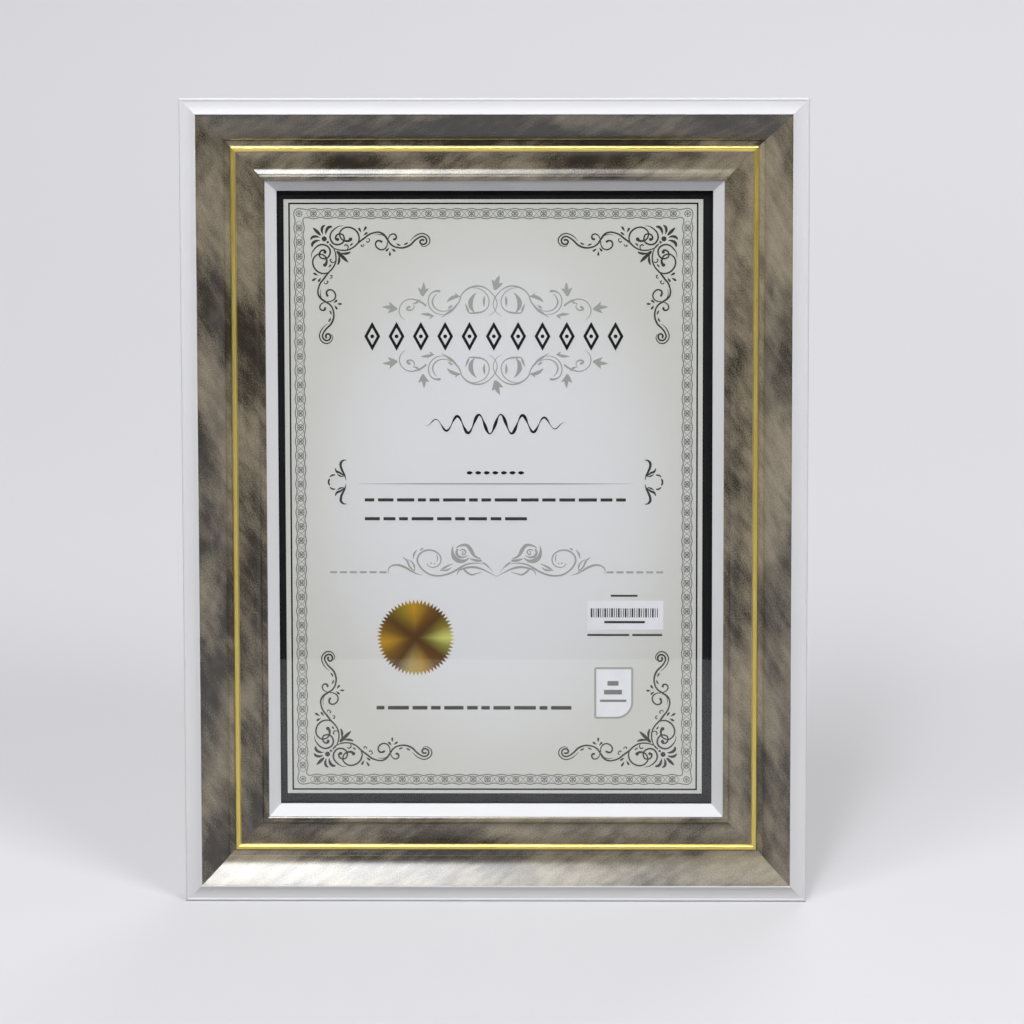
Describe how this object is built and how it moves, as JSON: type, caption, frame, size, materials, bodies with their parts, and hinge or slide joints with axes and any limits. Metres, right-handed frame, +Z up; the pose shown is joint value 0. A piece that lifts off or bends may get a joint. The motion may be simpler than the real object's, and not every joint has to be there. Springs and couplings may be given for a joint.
{
  "type": "certificate frame",
  "caption": "Mitred certificate frame with a stepped moulding round glazed sheet and back board, with turn buttons, ring hangers and a hinged strut to stand on.",
  "frame": {"origin": "middle of the bottom rail's resting side, on the floor", "axes": "+Z up, +X to the viewer's right, -Y towards the viewer; the frame leans back on its strut"},
  "size_m": [0.2904, 0.0954, 0.3736],
  "materials": {
    "moulding": "satin foil",
    "glass": "polished",
    "paper": "matt",
    "fibreboard": "raw",
    "steel": "zinc plated"
  },
  "bodies": {
    "frame": {"rail_top": "moulding", "rail_bottom": "moulding", "rail_left": "moulding", "rail_right": "moulding", "corner_nails": "steel", "glass_pane": "glass", "certificate_sheet": "paper", "back_board": "fibreboard", "turn_button_screws": "steel", "hinge_board_leaf": "steel", "hinge_board_rivets": "steel", "hinge_pin": "steel", "hanger_strap_portrait": "steel", "hanger_strap_landscape": "steel", "hanger_rivets": "steel"},
    "strut": {"easel_strut": "fibreboard", "hinge_strut_leaf": "steel", "hinge_strut_rivets": "steel"},
    "turn_button_left_upper": {"turn_button_left_upper": "steel"},
    "turn_button_left_middle": {"turn_button_left_middle": "steel"},
    "turn_button_left_lower": {"turn_button_left_lower": "steel"},
    "turn_button_right_upper": {"turn_button_right_upper": "steel"},
    "turn_button_right_middle": {"turn_button_right_middle": "steel"},
    "turn_button_right_lower": {"turn_button_right_lower": "steel"},
    "ring_portrait": {"hanger_ring_portrait": "steel"},
    "ring_landscape": {"hanger_ring_landscape": "steel"}
  },
  "joints": [
    {"name": "strut_fold", "type": "hinge", "parent": "frame", "child": "strut", "pos_m": [0, 0.03966, 0.20276], "axis": [-1, 0, 0], "range_deg": [0, 20]},
    {"name": "button_left_upper_turn", "type": "hinge", "parent": "frame", "child": "turn_button_left_upper", "pos_m": [-0.115, 0.0499, 0.2882], "axis": [0, 0.9903, -0.1392], "continuous": true},
    {"name": "button_left_middle_turn", "type": "hinge", "parent": "frame", "child": "turn_button_left_middle", "pos_m": [-0.115, 0.03528, 0.18422], "axis": [0, 0.9903, -0.1392], "continuous": true},
    {"name": "button_left_lower_turn", "type": "hinge", "parent": "frame", "child": "turn_button_left_lower", "pos_m": [-0.115, 0.02067, 0.08025], "axis": [0, 0.9903, -0.1392], "continuous": true},
    {"name": "button_right_upper_turn", "type": "hinge", "parent": "frame", "child": "turn_button_right_upper", "pos_m": [0.115, 0.0499, 0.2882], "axis": [0, 0.9903, -0.1392], "continuous": true},
    {"name": "button_right_middle_turn", "type": "hinge", "parent": "frame", "child": "turn_button_right_middle", "pos_m": [0.115, 0.03528, 0.18422], "axis": [0, 0.9903, -0.1392], "continuous": true},
    {"name": "button_right_lower_turn", "type": "hinge", "parent": "frame", "child": "turn_button_right_lower", "pos_m": [0.115, 0.02067, 0.08025], "axis": [0, 0.9903, -0.1392], "continuous": true},
    {"name": "ring_portrait_swing", "type": "hinge", "parent": "frame", "child": "ring_portrait", "pos_m": [0, 0.05351, 0.30183], "axis": [1, 0, 0], "range_deg": [-8, 172]},
    {"name": "ring_landscape_swing", "type": "hinge", "parent": "frame", "child": "ring_landscape", "pos_m": [0.0755, 0.03695, 0.18399], "axis": [0, -0.1392, -0.9903], "range_deg": [0, 180]}
  ]
}
